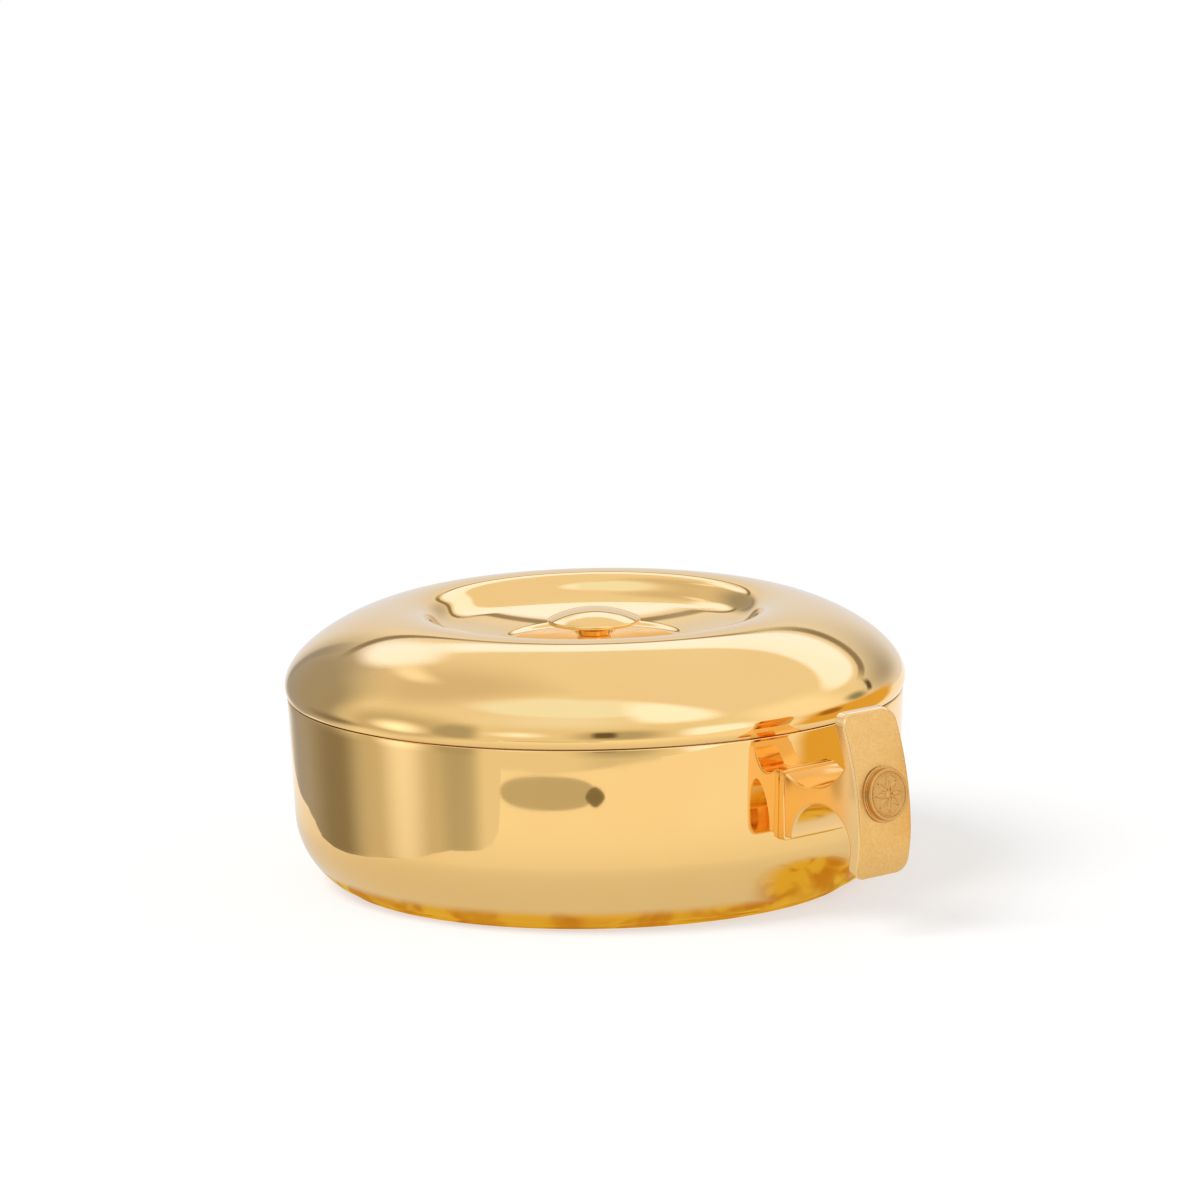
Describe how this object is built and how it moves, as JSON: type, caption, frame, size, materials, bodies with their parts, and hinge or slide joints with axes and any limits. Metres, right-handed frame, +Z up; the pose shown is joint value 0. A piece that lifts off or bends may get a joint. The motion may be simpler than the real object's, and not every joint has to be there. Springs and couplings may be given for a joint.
{
  "type": "stacking ciborium",
  "caption": "Low round gold-plated bowl with a lift-off lid, a knob sunk in the lid's well so that others stack on it, and a cast side handle with a round medallion.",
  "frame": {"origin": "under the middle of the whole outline, on the plane the foot ring stands on", "axes": "+X along the handle's side, +Z up; the bowl's axis is at x = -0.0154 m"},
  "size_m": [0.1957, 0.165, 0.0731],
  "materials": {
    "polished_gold_plate": "mirror-polished gold plate on spun brass",
    "satin_gold_casting": "satin gold plate on cast brass, fine brushed grain",
    "satin_gold_medallion": "struck relief, gold plated, darker in the hollows",
    "plain_steel": "plain stainless fasteners"
  },
  "bodies": {
    "bowl_body": {"bowl": "polished_gold_plate", "foot_ring": "polished_gold_plate", "handle": "satin_gold_casting", "handle_saddle": "polished_gold_plate", "handle_medallion": "satin_gold_medallion", "handle_backing_plate": "plain_steel", "handle_screw_left": "plain_steel", "handle_screw_right": "plain_steel"},
    "lid_body": {"lid": "polished_gold_plate", "lid_locating_ring": "polished_gold_plate", "knob": "polished_gold_plate", "knob_stud": "plain_steel", "knob_washer": "plain_steel", "knob_nut": "plain_steel"}
  },
  "joints": [
    {"name": "lid_lift", "type": "slide", "parent": "bowl_body", "child": "lid_body", "axis": [0, 0, 1], "range_m": [0, 0.08]}
  ]
}
